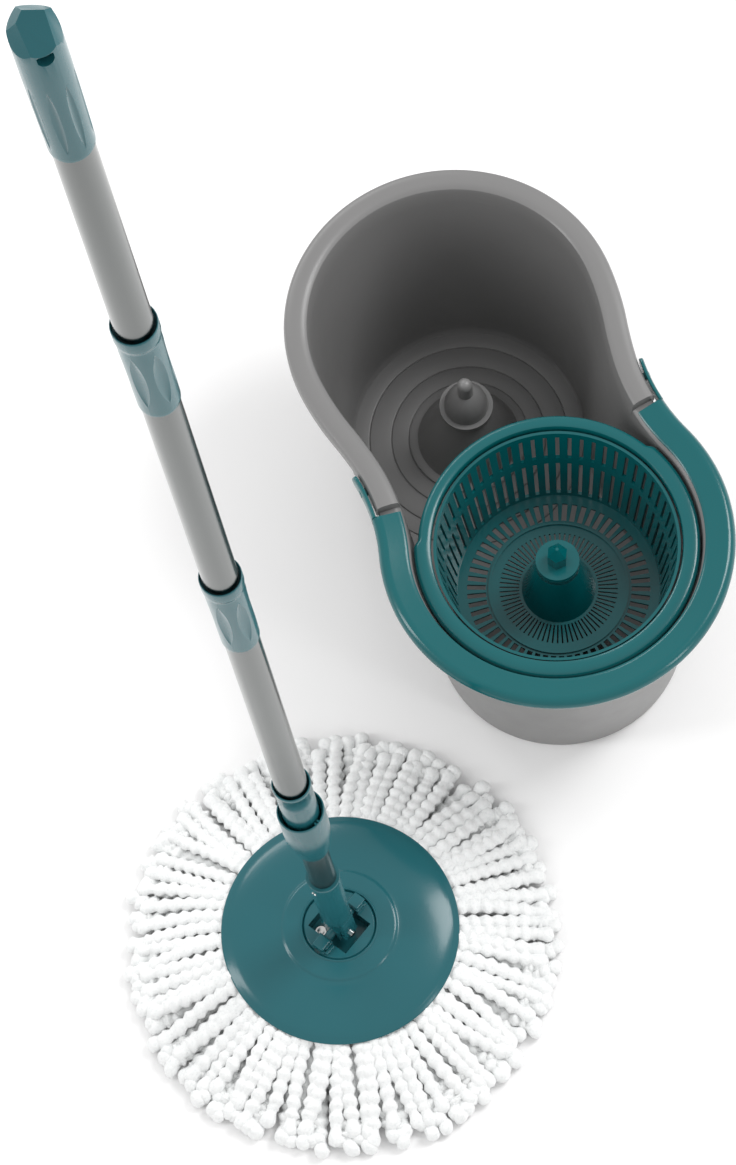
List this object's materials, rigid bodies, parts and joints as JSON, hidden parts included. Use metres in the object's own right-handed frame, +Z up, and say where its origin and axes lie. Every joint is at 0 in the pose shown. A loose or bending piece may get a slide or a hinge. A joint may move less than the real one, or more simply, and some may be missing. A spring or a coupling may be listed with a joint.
{
  "type": "spin mop",
  "caption": "Spin mop with a press-to-spin steel handle, a round plate of microfibre strands, and a two-lobed bucket with a wash post, a slotted spin basket and a folding carrying handle.",
  "frame": {"origin": "centre of the bucket's base on the floor, midway between its two lobes", "axes": "+Z up, +Y from the basket lobe to the wash lobe, +X to the right of the bucket, away from the mop"},
  "size_m": [0.5059, 0.5979, 1.3717],
  "materials": {
    "bucket_grey": "satin moulded",
    "post_grey": "satin moulded",
    "basket_teal": "gloss moulded",
    "mop_teal": "gloss moulded",
    "steel_tube": "satin",
    "steel_pin": "polished",
    "nylon": "plain",
    "fibre": "looped microfibre",
    "brass": "plain"
  },
  "bodies": {
    "root": {"bucket_body": "bucket_grey", "wash_post": "post_grey", "wash_cap": "post_grey", "axle_boss": "bucket_grey", "basket_axle": "steel_pin", "thrust_washer": "steel_pin", "axle_clip": "steel_pin", "guard_ring": "basket_teal", "guard_brackets": "post_grey", "bail_pivots": "steel_pin"},
    "bail": {"bail_handle": "basket_teal", "bail_ears": "basket_teal"},
    "basket_drive": {"hub_bush": "nylon"},
    "basket": {"basket": "basket_teal", "basket_hub_cap": "basket_teal"},
    "mop_head": {"mop_strands": "fibre", "strand_ring": "nylon", "mop_plate": "mop_teal", "mop_hub": "mop_teal", "hub_screws": "steel_pin", "trunnion_caps": "steel_pin"},
    "cross": {"joint_cross": "mop_teal"},
    "stem": {"hinge_pin": "steel_pin", "knuckle_socket": "mop_teal", "socket_rivet": "steel_pin", "inner_tube": "steel_tube", "clutch_sleeve": "nylon", "drive_nut": "brass"},
    "turning_bush": {"guide_bush": "nylon"},
    "handle": {"spiral_rod": "steel_pin", "rod_plug": "nylon", "lower_bush": "nylon", "lock_collet": "nylon", "lock_sleeve": "mop_teal", "lower_tube": "steel_tube", "lower_insert": "nylon", "lower_coupling": "mop_teal", "middle_tube": "steel_tube", "upper_insert": "nylon", "upper_coupling": "mop_teal", "upper_tube": "steel_tube", "tube_plug": "nylon", "grip": "mop_teal"},
    "lock": {"lock_ring": "mop_teal"}
  },
  "joints": [
    {"name": "bail_swing", "type": "hinge", "parent": "root", "child": "bail", "pos_m": [0, 0.006, 0.168], "axis": [-1, 0, 0], "range_deg": [0, 95]},
    {"name": "basket_spin", "type": "hinge", "parent": "root", "child": "basket_drive", "pos_m": [0, -0.081, 0.081], "axis": [0, 0, 1], "continuous": true},
    {"name": "basket_lift", "type": "slide", "parent": "basket_drive", "child": "basket", "axis": [0, 0, 1], "range_m": [0, 0.12]},
    {"name": "mop_lift", "type": "slide", "parent": "root", "child": "mop_head", "axis": [0, 0, 1], "range_m": [0, 0.25]},
    {"name": "head_tilt", "type": "hinge", "parent": "mop_head", "child": "cross", "pos_m": [-0.232, -0.2322, 0.048], "axis": [0.8829, 0.4695, 0], "range_deg": [-37.8, 42.2]},
    {"name": "head_swing", "type": "hinge", "parent": "cross", "child": "stem", "pos_m": [-0.232, -0.2322, 0.048], "axis": [-0.4691, 0.8823, -0.0384], "range_deg": [-38.2, 41.8]},
    {"name": "handle_turn", "type": "hinge", "parent": "stem", "child": "turning_bush", "pos_m": [-0.2503, -0.22455, 0.44751], "axis": [-0.0457, 0.0191, 0.9988], "range_deg": [0, 720]},
    {"name": "handle_press", "type": "slide", "parent": "turning_bush", "child": "handle", "axis": [-0.0457, 0.0191, 0.9988], "range_m": [0, 0.15]},
    {"name": "lock_twist", "type": "hinge", "parent": "handle", "child": "lock", "pos_m": [-0.24069, -0.22856, 0.23777], "axis": [-0.0457, 0.0191, 0.9988], "range_deg": [0, 40]}
  ],
  "couplings": [
    {"joint": "handle_turn", "follows": "handle_press", "rad_per_m": 83.776}
  ]
}
